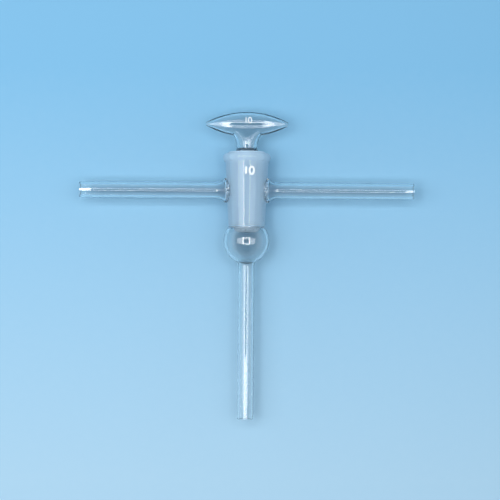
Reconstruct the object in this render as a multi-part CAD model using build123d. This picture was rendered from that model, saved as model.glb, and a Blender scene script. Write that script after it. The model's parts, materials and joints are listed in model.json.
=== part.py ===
from build123d import *
import os
from math import isclose, sqrt

# A three-way glass stopcock: a one-piece blown barrel with two side arms, a bulb and a
# bottom tube, and a hollow ground plug with a flattened hollow handle that turns in it.
# X runs along the arms, Y along the barrel towards the handle, Z up from the surface
# that the stopcock lies on. The origin is at the middle of the foot of its box.

# ---------------------------------------------------------------- driving dimensions, mm
# Tubing of the arms and of the bottom tube
tube_radius = 6.0
tube_wall = 1.2
arm_reach = 127.0           # from the barrel's axis to an arm's cut end
stem_reach = 173.7          # from the arms' axis to the end of the bottom tube
cut_edge = 0.3              # rounding of the arms' cut ends
polish_edge = 0.5           # rounding of a fire-polished edge

# Ground taper of the socket and the plug: 1 in 10 on the diameter
taper = 1 / 20              # radius gained per millimetre towards the handle
socket_radius = 12.2        # at the level of the arms
socket_above = 28.1         # from the arms' axis up to the mouth
barrel_wall = 3.2
running_clearance = 0.05    # radial, filled by grease in use
passage_radius = 5.0        # ports through the barrel's wall and the plug's

# Bead round the mouth
bead_height = 6.4
bead_overhang = 1.6
bead_crown = 0.45           # share of the bead's height, from the mouth down to its widest

# Seals where the arms join the barrel
seal_radius = 9.2
seal_length = 8.6           # from the barrel's wall to where the arm's tube is plain
seal_wall = 1.9
throat_length = 1.2         # plain port in the barrel's wall before it opens into the seal
collar_stand = 0.8          # plain collar between the barrel's skin and the seal's flare
seam_radius = 0.7           # crease round the collar's foot

# Bulb under the barrel
bulb_radius = 17.4
bulb_wall = 1.9
bulb_drop = 38.4            # from the arms' axis down to the bulb's centre
bulb_fillet = 4.0           # where the bulb runs into the bottom tube
foot_share = 0.7            # share of the bulb's inner radius at which the socket's foot is sized

# Plug
plug_wall = 2.3
plug_rise = 1.1             # how far the ground cone stands out of the mouth
nose_depth = 4.4            # length of the plug's rounded lower end
nose_round = (0.72, 0.68)   # shares of its width and depth at the middle of the rounding
floor_rise = 0.5            # from the foot of the ground cone up to the hollow's floor
neck_radius = 7.7
neck_height = 3.6           # from the top of the ground cone to the narrowest neck
neck_wall = 1.8
neck_middle_rise = 5.5      # from the narrowest neck up to where it starts to flatten
neck_middle_spread = 1.0    # how much wider it is there
neck_middle_flat = 0.4      # how much shallower it is there
neck_end_drop = 4.0         # from the handle's middle down to the end of the neck
neck_end_spread = 7.0       # how much wider it is there
neck_end_inset = 1.0        # how far its front lies behind the handle's front there
roof_rise = 1.0             # slope of the hollow's roof up to the neck

# Handle: a spindle along X, flattened from front to back
handle_half_length = 31.2
handle_half_height = 9.2
handle_half_depth = 5.3
handle_level = 50.4         # from the arms' axis up to the middle of the handle
handle_wall = 1.5
tip_wall = 3.0              # solid glass at each pointed end
tip_radius = 1.2            # where the handle's ends were drawn off

same_place = 0.05           # two lengths this close are taken as one


# ---------------------------------------------------------------- shared places
def socket_wall(y):
    """Radius of the socket's ground wall at height y."""
    return socket_radius + taper * y


def barrel_skin(y):
    """Outer radius of the barrel at height y."""
    return socket_wall(y) + barrel_wall


def cone_skin(y):
    """Outer radius of the plug's ground cone at height y."""
    return socket_wall(y) - running_clearance


def sphere_height(radius, at_radius):
    """Height above a sphere's centre where it is at_radius wide."""
    return sqrt(radius**2 - at_radius**2)


def run_into_tube(radius, tube, fillet):
    """Fillet from a sphere of this radius down into a tube: three points, sphere's centre at 0."""
    centre_y = -sqrt((radius + fillet) ** 2 - (tube + fillet) ** 2)
    share = radius / (radius + fillet)
    on_sphere = Vector((tube + fillet) * share, centre_y * share)
    on_tube = Vector(tube, centre_y)
    centre = Vector(tube + fillet, centre_y)
    middle = centre + ((on_sphere + on_tube) / 2 - centre).normalized() * fillet
    return on_sphere, middle, on_tube


bulb_inside = bulb_radius - bulb_wall
tube_bore = tube_radius - tube_wall
bead_foot = socket_above - bead_height
bead_radius = barrel_skin(socket_above - bead_height / 2) + bead_overhang
lower_skin = barrel_skin(-bulb_drop + bulb_radius / 2)
foot_guess = -bulb_drop + bulb_inside * foot_share
socket_foot = -bulb_drop + sphere_height(bulb_inside, socket_wall(foot_guess))
barrel_foot = -bulb_drop + sphere_height(bulb_radius, lower_skin)
plug_top = socket_above + plug_rise
neck_foot_y = plug_top + neck_height
nose_y = socket_foot - nose_depth
seal_end = barrel_skin(0) + seal_length
collar_reach = barrel_skin(seal_radius) + collar_stand


# ---------------------------------------------------------------- barrel, arms, bulb, tube
def turned(lines, axis):
    """Solid of revolution of a closed outline."""
    return revolve(make_face(Curve() + lines), axis)


def barrel_outside():
    on_sphere, middle, on_tube = run_into_tube(bulb_radius, tube_radius, bulb_fillet)
    bulb = Vector(0, -bulb_drop)
    mouth_edge = (barrel_skin(socket_above) - polish_edge, socket_above)
    bead_side = (bead_radius, socket_above - bead_height * bead_crown)
    return turned(
        [
            Line((0, socket_above), mouth_edge),
            ThreePointArc(mouth_edge, bead_side, (barrel_skin(bead_foot), bead_foot)),
            Line((barrel_skin(bead_foot), bead_foot), (lower_skin, barrel_foot)),
            ThreePointArc((lower_skin, barrel_foot), bulb + (bulb_radius, 0), bulb + on_sphere),
            ThreePointArc(bulb + on_sphere, bulb + middle, bulb + on_tube),
            Line(bulb + on_tube, (tube_radius, polish_edge - stem_reach)),
            RadiusArc(
                (tube_radius, polish_edge - stem_reach),
                (tube_radius - polish_edge, -stem_reach),
                polish_edge,
            ),
            Line((tube_radius - polish_edge, -stem_reach), (0, -stem_reach)),
            Line((0, -stem_reach), (0, socket_above)),
        ],
        Axis.Y,
    )


def barrel_inside():
    on_sphere, middle, on_tube = run_into_tube(bulb_inside, tube_bore, bulb_fillet + bulb_wall)
    bulb = Vector(0, -bulb_drop)
    socket_lip = (socket_wall(socket_foot), socket_foot)
    return turned(
        [
            Line((0, socket_above), (socket_wall(socket_above), socket_above)),
            Line((socket_wall(socket_above), socket_above), socket_lip),
            ThreePointArc(socket_lip, bulb + (bulb_inside, 0), bulb + on_sphere),
            ThreePointArc(bulb + on_sphere, bulb + middle, bulb + on_tube),
            Line(bulb + on_tube, (tube_bore, -stem_reach)),
            Line((tube_bore, -stem_reach), (0, -stem_reach)),
            Line((0, -stem_reach), (0, socket_above)),
        ],
        Axis.Y,
    )


def arm_outside():
    collar_end = (collar_reach, seal_radius)
    return turned(
        [
            Line((0, 0), (0, seal_radius)),
            Line((0, seal_radius), collar_end),
            TangentArc((seal_end, tube_radius), collar_end, tangent=(-1, 0)),
            Line((seal_end, tube_radius), (arm_reach - cut_edge, tube_radius)),
            Line((arm_reach - cut_edge, tube_radius), (arm_reach, tube_radius - cut_edge)),
            Line((arm_reach, tube_radius - cut_edge), (arm_reach, 0)),
            Line((arm_reach, 0), (0, 0)),
        ],
        Axis.X,
    )


def arm_inside():
    throat = (socket_wall(0) + throat_length, passage_radius)
    collar_mouth = (collar_reach - collar_stand, seal_radius - seal_wall)
    return turned(
        [
            Line((0, 0), (0, passage_radius)),
            Line((0, passage_radius), throat),
            Line(throat, collar_mouth),
            TangentArc((seal_end, tube_bore), collar_mouth, tangent=(-1, 0)),
            Line((seal_end, tube_bore), (arm_reach, tube_bore)),
            Line((arm_reach, tube_bore), (arm_reach, 0)),
            Line((arm_reach, 0), (0, 0)),
        ],
        Axis.X,
    )


def mirrored_pair(arm):
    return arm + mirror(arm, Plane.YZ)


def on_seam(edge):
    """True for the edges where an arm's collar meets the barrel's skin."""
    middle = edge @ 0.5
    from_arm_axis = sqrt(middle.Y**2 + middle.Z**2)
    on_collar = isclose(from_arm_axis, seal_radius, abs_tol=same_place)
    return on_collar and abs(middle.X) < barrel_skin(seal_radius) and edge.geom_type != GeomType.LINE


def make_barrel():
    body = barrel_outside() + mirrored_pair(arm_outside())
    body = fillet(body.edges().filter_by(on_seam), seam_radius)
    return body - barrel_inside() - mirrored_pair(arm_inside())


# ---------------------------------------------------------------- plug and handle
def spindle(half_length, half_height, half_depth):
    """Pointed oval along X: an arc turned about X, then flattened from front to back."""
    left_tip = (-half_length, tip_radius)
    right_tip = (half_length, tip_radius)
    round_spindle = turned(
        [
            Line((-half_length, 0), left_tip),
            ThreePointArc(left_tip, (0, half_height), right_tip),
            Line(right_tip, (half_length, 0)),
            Line((half_length, 0), (-half_length, 0)),
        ],
        Axis.X,
    )
    return scale(round_spindle, by=(1, 1, half_depth / half_height))


def neck_into_handle(radius, shrink):
    """Neck that starts round over the plug and flattens as it runs into the handle."""
    sections = [
        (neck_foot_y, radius, radius),
        (
            neck_foot_y + neck_middle_rise,
            radius + neck_middle_spread,
            radius - neck_middle_flat,
        ),
        (
            handle_level - neck_end_drop,
            radius + neck_end_spread,
            handle_half_depth - neck_end_inset - shrink,
        ),
    ]
    faces = [
        Plane.XZ.offset(-y) * Ellipse(half_width, half_depth)
        for y, half_width, half_depth in sections
    ]
    return loft(faces)


def plug_outside():
    nose_shoulder = (cone_skin(socket_foot), socket_foot)
    nose_side = (
        passage_radius + (cone_skin(socket_foot) - passage_radius) * nose_round[0],
        socket_foot - nose_depth * nose_round[1],
    )
    shoulder_edge = (cone_skin(plug_top), plug_top)
    neck_foot = (neck_radius, neck_foot_y)
    turned_part = turned(
        [
            Line((0, nose_y), (passage_radius, nose_y)),
            ThreePointArc((passage_radius, nose_y), nose_side, nose_shoulder),
            Line(nose_shoulder, shoulder_edge),
            TangentArc(neck_foot, shoulder_edge, tangent=(0, -1)),
            Line(neck_foot, (0, neck_foot_y)),
            Line((0, neck_foot_y), (0, nose_y)),
        ],
        Axis.Y,
    )
    grip = Pos(0, handle_level, 0) * spindle(
        handle_half_length, handle_half_height, handle_half_depth
    )
    return turned_part + neck_into_handle(neck_radius, 0) + grip


def plug_inside():
    floor_y = socket_foot + floor_rise
    cavity_top = plug_top - plug_wall
    roof_y = cavity_top + roof_rise
    hole_radius = passage_radius - polish_edge
    neck_inside = neck_radius - neck_wall
    turned_part = turned(
        [
            Line((0, nose_y), (hole_radius, nose_y)),
            Line((hole_radius, nose_y), (hole_radius, nose_y + plug_wall)),
            Line((hole_radius, nose_y + plug_wall), (cone_skin(floor_y) - plug_wall, floor_y)),
            Line(
                (cone_skin(floor_y) - plug_wall, floor_y),
                (cone_skin(cavity_top) - plug_wall, cavity_top),
            ),
            Line((cone_skin(cavity_top) - plug_wall, cavity_top), (neck_inside, roof_y)),
            Line((neck_inside, roof_y), (neck_inside, neck_foot_y)),
            Line((neck_inside, neck_foot_y), (0, neck_foot_y)),
            Line((0, neck_foot_y), (0, nose_y)),
        ],
        Axis.Y,
    )
    hollow = Pos(0, handle_level, 0) * spindle(
        handle_half_length - tip_wall,
        handle_half_height - handle_wall,
        handle_half_depth - handle_wall,
    )
    port = Rot(0, -90, 0) * Cylinder(
        passage_radius, socket_radius * 2, align=(Align.CENTER, Align.CENTER, Align.MIN)
    )
    return turned_part + neck_into_handle(neck_inside, handle_wall) + hollow + port


def make_plug():
    return plug_outside() - plug_inside()


# ---------------------------------------------------------------- placing and writing
top_y = handle_level + handle_half_height
to_row = Pos(0, (stem_reach - top_y) / 2, bead_radius)

os.makedirs("parts", exist_ok=True)
for name, solid in {"barrel": make_barrel(), "plug": make_plug()}.items():
    export_step(to_row * solid, f"parts/{name}.step")
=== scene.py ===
import json
from math import cos, pi, radians, sin, tan

import bmesh
import bpy
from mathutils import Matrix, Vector


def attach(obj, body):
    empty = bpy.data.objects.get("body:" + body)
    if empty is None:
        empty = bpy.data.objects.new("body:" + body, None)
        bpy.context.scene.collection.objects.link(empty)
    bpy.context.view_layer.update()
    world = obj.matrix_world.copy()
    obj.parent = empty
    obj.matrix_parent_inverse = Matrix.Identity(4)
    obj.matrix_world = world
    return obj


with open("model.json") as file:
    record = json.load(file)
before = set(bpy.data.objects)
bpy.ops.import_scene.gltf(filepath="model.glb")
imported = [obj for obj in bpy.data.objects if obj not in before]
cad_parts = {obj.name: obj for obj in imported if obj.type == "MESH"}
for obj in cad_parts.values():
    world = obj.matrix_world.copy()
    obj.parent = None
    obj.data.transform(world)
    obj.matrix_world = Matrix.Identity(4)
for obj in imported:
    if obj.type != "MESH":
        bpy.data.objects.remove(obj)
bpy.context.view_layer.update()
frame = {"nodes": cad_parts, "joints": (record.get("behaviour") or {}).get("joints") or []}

MM = 0.001

# The barrel's axis runs along Y at this height, and crosses the arms' axis at HUB.
HUB = Vector(frame["joints"][0]["pos_m"])
SOCKET_RADIUS = 12.2 * MM  # of the ground wall at the arms' level
TAPER = 1 / 20  # radius gained along the barrel towards the handle
PASSAGE_RADIUS = 5.0 * MM
SOCKET_FOOT = HUB.y - 27.3 * MM
BARREL_GROUND_TOP = HUB.y + 28.0 * MM
PLUG_GROUND_TOP = HUB.y + 29.2 * MM
ON_CONE = 0.35 * MM  # a surface this near the cone is a ground one


# ---------------------------------------------------------------- node helpers
class Nodes:
    """Short calls for building a material's node tree."""

    def __init__(self, name):
        self.material = bpy.data.materials.new(name)
        self.material.use_nodes = True
        self.tree = self.material.node_tree
        self.tree.nodes.clear()

    def add(self, kind, inputs=(), **settings):
        node = self.tree.nodes.new(kind)
        for key, value in settings.items():
            setattr(node, key, value)
        for socket, value in dict(inputs).items():
            self.feed(node.inputs[socket], value)
        return node

    def feed(self, socket, value):
        if isinstance(value, bpy.types.NodeSocket):
            self.tree.links.new(value, socket)
        else:
            socket.default_value = value

    def maths(self, operation, a, b=0.0, c=0.0):
        node = self.add("ShaderNodeMath", {0: a, 1: b, 2: c}, operation=operation)
        return node.outputs[0]

    def finish(self, shader):
        output = self.add("ShaderNodeOutputMaterial")
        self.tree.links.new(shader, output.inputs["Surface"])
        return self.material


# ---------------------------------------------------------------- materials
CLEAR_TINT = (0.99, 0.998, 1.0, 1.0)
# Colour of the light the ground glass scatters: its milkiness is real, its blue is the floor's
# light seen through the frost, painted in.
FROST_PAINTED_FLOOR_BLUE = (0.60, 0.82, 1.0, 1.0)
GROUND_MILK = 0.88  # share of the light that the ground surface scatters
NOSE_PAINTED_HIGHLIGHT = 0.6  # of the ground look, on the plug's rounded lower end: a painted highlight, milky paleness on clear glass standing in for the lamps' reflection there
MATT_LEAST = 0.38  # roughness of the ground surface at its smoothest
MATT_SPREAD = 0.2  # added where its grain is coarsest
GLASS_IOR = 1.47
FLOOR_NEAR = (0.42, 0.62, 0.76, 1.0)
FLOOR_FAR = (0.22, 0.48, 0.70, 1.0)
FLOOR_FADE = 3.0  # change from near to far per metre
FLOOR_MIDDLE = 0.5  # share of the far colour at the origin
FLOOR_MOTTLE = 0.08
ENAMEL_DULL = (0.86, 0.90, 0.92, 1.0)
ENAMEL_BRIGHT = (0.97, 0.98, 0.98, 1.0)


def distance_to_ground_cone(n):
    """A point's distance from the ground cone, its radius from the axis, its Y and its place."""
    place = n.add("ShaderNodeTexCoord").outputs["Object"]
    axes = n.add("ShaderNodeSeparateXYZ", {0: place}).outputs
    height = n.maths("SUBTRACT", axes["Z"], HUB.z)
    across_squared = n.maths("MULTIPLY", axes["X"], axes["X"])
    radius = n.maths("SQRT", n.maths("MULTIPLY_ADD", height, height, across_squared))
    along = n.maths("SUBTRACT", axes["Y"], HUB.y)
    cone = n.maths("MULTIPLY_ADD", along, TAPER, SOCKET_RADIUS)
    return n.maths("ABSOLUTE", n.maths("SUBTRACT", radius, cone)), radius, axes["Y"], place


def glass(name, ground_top, nose_highlight_share):
    """Clear borosilicate glass, matt on the ground cone, and milky on the plug's nose as a painted
    highlight.
    """
    n = Nodes(name)
    off_cone, radius, along, place = distance_to_ground_cone(n)
    on_cone = n.maths("LESS_THAN", off_cone, ON_CONE)
    above_foot = n.maths("GREATER_THAN", along, SOCKET_FOOT)
    below_top = n.maths("LESS_THAN", along, ground_top)
    cone_zone = n.maths("MULTIPLY", on_cone, n.maths("MULTIPLY", above_foot, below_top))
    # Painted highlight: the plug's rounded lower end is given the milky pale look of the ground
    # zone.
    nose_highlight_zone = n.maths(
        "MULTIPLY",
        n.maths("LESS_THAN", along, SOCKET_FOOT),
        n.maths("GREATER_THAN", radius, PASSAGE_RADIUS),
    )
    # Real ground-glass frost on the cone, together with the painted highlight on the nose.
    frost_and_nose_highlight = n.maths("MAXIMUM", cone_zone, n.maths("MULTIPLY", nose_highlight_zone, nose_highlight_share))
    grain = n.add(
        "ShaderNodeTexNoise", {"Vector": place, "Scale": 900.0, "Detail": 3.0, "Roughness": 0.6}
    ).outputs["Fac"]
    matt = n.maths("MULTIPLY_ADD", grain, MATT_SPREAD, MATT_LEAST)
    roughness = n.maths("MULTIPLY", frost_and_nose_highlight, matt)
    clearness = n.maths("SUBTRACT", 1.0, n.maths("MULTIPLY", frost_and_nose_highlight, GROUND_MILK))
    # Where the glass is ground it takes the painted blue of the floor's light through the frost; on
    # the nose this blue is part of the painted highlight.
    tint = n.add(
        "ShaderNodeMix",
        {"Factor": frost_and_nose_highlight, 6: CLEAR_TINT, 7: FROST_PAINTED_FLOOR_BLUE},
        data_type="RGBA",
    ).outputs[2]
    waves = n.add(
        "ShaderNodeTexNoise", {"Vector": place, "Scale": 55.0, "Detail": 1.0, "Roughness": 0.4}
    ).outputs["Fac"]
    bump = n.add("ShaderNodeBump", {"Strength": 0.08, "Distance": 0.0004, "Height": waves})
    shader = n.add(
        "ShaderNodeBsdfPrincipled",
        {
            "Base Color": tint,
            "Transmission Weight": clearness,
            "IOR": GLASS_IOR,
            "Roughness": roughness,
            "Normal": bump.outputs["Normal"],
        },
    )
    return n.finish(shader.outputs["BSDF"])


def enamel():
    """White fired-on enamel: slightly uneven, with a soft gloss."""
    n = Nodes("white_enamel")
    place = n.add("ShaderNodeTexCoord").outputs["Object"]
    mottle = n.add(
        "ShaderNodeTexNoise", {"Vector": place, "Scale": 2500.0, "Detail": 2.0}
    ).outputs["Fac"]
    colour = n.add(
        "ShaderNodeMix",
        {"Factor": mottle, 6: ENAMEL_DULL, 7: ENAMEL_BRIGHT},
        data_type="RGBA",
    ).outputs[2]
    bump = n.add("ShaderNodeBump", {"Strength": 0.3, "Distance": 0.00003, "Height": mottle})
    shader = n.add(
        "ShaderNodeBsdfPrincipled",
        {"Base Color": colour, "Roughness": 0.45, "Normal": bump.outputs["Normal"]},
    )
    return n.finish(shader.outputs["BSDF"])


def paint(obj, material):
    obj.data.materials.clear()
    obj.data.materials.append(material)


# ---------------------------------------------------------------- stage, lamps, camera
FLOOR_HALF = 3.0
LENS_MM = 90.0
SENSOR_MM = 36.0
CAMERA_FROM_HUB = (2.8 * MM, -45.2 * MM, 0.95)
CAMERA_ROLL = radians(0.42)
HORIZON_COLOUR = (0.66, 0.82, 0.93, 1.0)
OVERHEAD_COLOUR = (0.24, 0.29, 0.34, 1.0)
HORIZON_TOP = 0.25  # height of the pale band, on a dome of radius 1
OVERHEAD_FROM = 0.6


def floor_material():
    """Pale blue card, a little deeper towards the handle's end, with a faint mottle."""
    n = Nodes("floor")
    place = n.add("ShaderNodeTexCoord").outputs["Object"]
    along = n.add("ShaderNodeSeparateXYZ", {0: place}).outputs["Y"]
    mottle = n.add(
        "ShaderNodeTexNoise", {"Vector": place, "Scale": 160.0, "Detail": 4.0}
    ).outputs["Fac"]
    fade = n.maths("MULTIPLY_ADD", along, FLOOR_FADE, FLOOR_MIDDLE)
    held = n.maths("MINIMUM", n.maths("MAXIMUM", fade, 0.0), 1.0)
    depth = n.maths("MULTIPLY_ADD", mottle, FLOOR_MOTTLE, held)
    colour = n.add(
        "ShaderNodeMix",
        {"Factor": depth, 6: FLOOR_NEAR, 7: FLOOR_FAR},
        data_type="RGBA",
    ).outputs[2]
    shader = n.add(
        "ShaderNodeBsdfPrincipled",
        {"Base Color": colour, "Roughness": 0.9, "Specular IOR Level": 0.1},
    )
    return n.finish(shader.outputs["BSDF"])


def make_floor():
    mesh = bpy.data.meshes.new("floor")
    corners = [(x * FLOOR_HALF, y * FLOOR_HALF, 0) for x, y in ((-1, -1), (1, -1), (1, 1), (-1, 1))]
    mesh.from_pydata(corners, [], [(0, 1, 2, 3)])
    floor = bpy.data.objects.new("floor", mesh)
    bpy.context.scene.collection.objects.link(floor)
    floor.data.materials.append(floor_material())


PANEL_HEIGHT = 1.0  # of the softbox above the arms' axis
PANELS = {  # left, right, bottom and top in degrees off the vertical, and radiance
    "left_far": (-50, -35, -18, 18, 2.8),
    "left_near": (-35, -19, -19, 19, 3.0),
    "left_edge": (-19, -14, -19, 19, 11.5),
    "right_edge": (14, 19, -19, 19, 5.2),
    "right_near": (19, 35, -19, 19, 1.3),
    "right_far": (35, 50, -18, 18, 1.3),
    "upper_strip": (-14, 14, 12, 19, 6.4),
    "lower_strip": (-14, 14, -19, -12, 3.8),
}


def make_panel(name, left, right, bottom, top, radiance):
    """One part of the softbox, between angles off the vertical, as bright as radiance says."""
    edges = (left, right, bottom, top)
    low_x, high_x, low_y, high_y = (tan(radians(angle)) * PANEL_HEIGHT for angle in edges)
    lamp = bpy.data.lights.new(name, "AREA")
    lamp.shape = "RECTANGLE"
    lamp.size = high_x - low_x
    lamp.size_y = high_y - low_y
    lamp.energy = radiance * pi * lamp.size * lamp.size_y
    obj = bpy.data.objects.new(name, lamp)
    obj.location = (
        HUB.x + (low_x + high_x) / 2,
        HUB.y + (low_y + high_y) / 2,
        HUB.z + PANEL_HEIGHT,
    )
    bpy.context.scene.collection.objects.link(obj)


def make_softbox():
    """A wide soft lamp round the camera, brighter on the left, with an opening for the lens."""
    for name, panel in PANELS.items():
        make_panel(name, *panel)


def make_world():
    """A dim room with a pale band low down all round, as in a light tent."""
    world = bpy.data.worlds.new("studio")
    bpy.context.scene.world = world
    world.use_nodes = True
    tree = world.node_tree
    direction = tree.nodes.new("ShaderNodeTexCoord").outputs["Generated"]
    axes = tree.nodes.new("ShaderNodeSeparateXYZ")
    tree.links.new(direction, axes.inputs[0])
    ramp = tree.nodes.new("ShaderNodeValToRGB")
    low, high = ramp.color_ramp.elements
    low.position, low.color = HORIZON_TOP, HORIZON_COLOUR
    high.position, high.color = OVERHEAD_FROM, OVERHEAD_COLOUR
    tree.links.new(axes.outputs["Z"], ramp.inputs[0])
    tree.links.new(ramp.outputs["Color"], tree.nodes["Background"].inputs["Color"])


def make_camera():
    camera = bpy.data.cameras.new("camera")
    camera.lens = LENS_MM
    camera.sensor_width = SENSOR_MM
    obj = bpy.data.objects.new("camera", camera)
    obj.location = HUB + Vector(CAMERA_FROM_HUB)
    obj.rotation_euler = (0.0, 0.0, CAMERA_ROLL)
    bpy.context.scene.collection.objects.link(obj)
    bpy.context.scene.camera = obj


# ---------------------------------------------------------------- printed numbers
ENAMEL_FLOAT = 0.02 * MM  # air left between the glass and the underside of the print
ENAMEL_THICKNESS = 0.06 * MM
RAY_START = 1.0  # height above the arms' axis from which the print is dropped onto the glass
HANDLE_PRINT = {"height": 5.0, "pen": 0.7, "place": (0.9, 52.9)}  # millimetres from the hub
BARREL_PRINT = {"height": 7.0, "pen": 1.5, "place": (2.0, 14.4)}


def stroke(path, width, closed):
    """Left and right edges of a pen stroke along flat points, in millimetres."""
    edges = []
    count = len(path)
    for i, point in enumerate(path):
        before = path[(i - 1) % count] if closed or i > 0 else point
        after = path[(i + 1) % count] if closed or i < count - 1 else point
        run = (Vector(after) - Vector(before)).normalized()
        side = Vector((-run.y, run.x)) * (width / 2)
        edges.append((Vector(point) + side, Vector(point) - side))
    return edges


def print_strokes(name, strokes, centre, glass_node, body):
    """Thin enamel ribbons that follow the front of a piece of glass."""
    build = bmesh.new()
    target = frame["nodes"][glass_node]

    def on_glass(flat, lift):
        start = Vector((centre.x + flat.x * MM, centre.y + flat.y * MM, HUB.z + RAY_START))
        hit, place, normal, _ = target.ray_cast(start, Vector((0, 0, -1)))
        return build.verts.new(place + normal * lift)

    for edges, closed in strokes:
        rings = [
            [
                on_glass(left, ENAMEL_FLOAT),
                on_glass(left, ENAMEL_FLOAT + ENAMEL_THICKNESS),
                on_glass(right, ENAMEL_FLOAT + ENAMEL_THICKNESS),
                on_glass(right, ENAMEL_FLOAT),
            ]
            for left, right in edges
        ]
        pairs = list(zip(rings, rings[1:])) + ([(rings[-1], rings[0])] if closed else [])
        for a, b in pairs:
            for i in range(4):
                build.faces.new((a[i], a[(i + 1) % 4], b[(i + 1) % 4], b[i]))
        if not closed:
            build.faces.new(rings[0])
            build.faces.new(reversed(rings[-1]))
    bmesh.ops.recalc_face_normals(build, faces=build.faces)
    mesh = bpy.data.meshes.new(name)
    build.to_mesh(mesh)
    build.free()
    obj = bpy.data.objects.new(name, mesh)
    bpy.context.scene.collection.objects.link(obj)
    obj.data.materials.append(enamel())
    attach(obj, body)


def number_ten(height, pen):
    """The bore number 10 as two strokes, centred on its own middle."""
    half = height / 2 - pen / 2
    one_x, nought_x, nought_half = -0.36 * height, 0.24 * height, 0.24 * height
    one_steps, nought_steps = 12, 40
    one = [(one_x, -half + i * 2 * half / one_steps) for i in range(one_steps + 1)]
    turns = [2 * pi * i / nought_steps for i in range(nought_steps)]
    nought = [(nought_x + nought_half * cos(t), half * sin(t)) for t in turns]
    return [(stroke(one, pen, False), False), (stroke(nought, pen, True), True)]


def print_number(name, size, node):
    """The number 10 on a piece of glass, riding the body of the same name."""
    centre = HUB + Vector((*size["place"], 0)) * MM
    print_strokes(name, number_ten(size["height"], size["pen"]), centre, node, node)


make_floor()
make_softbox()
make_world()
make_camera()

paint(frame["nodes"]["barrel"], glass("barrel_glass", BARREL_GROUND_TOP, 0.0))
paint(frame["nodes"]["plug"], glass("plug_glass", PLUG_GROUND_TOP, NOSE_PAINTED_HIGHLIGHT))
print_number("handle_number", HANDLE_PRINT, "plug")
print_number("barrel_number", BARREL_PRINT, "barrel")

bpy.context.scene.view_settings.view_transform = "Standard"
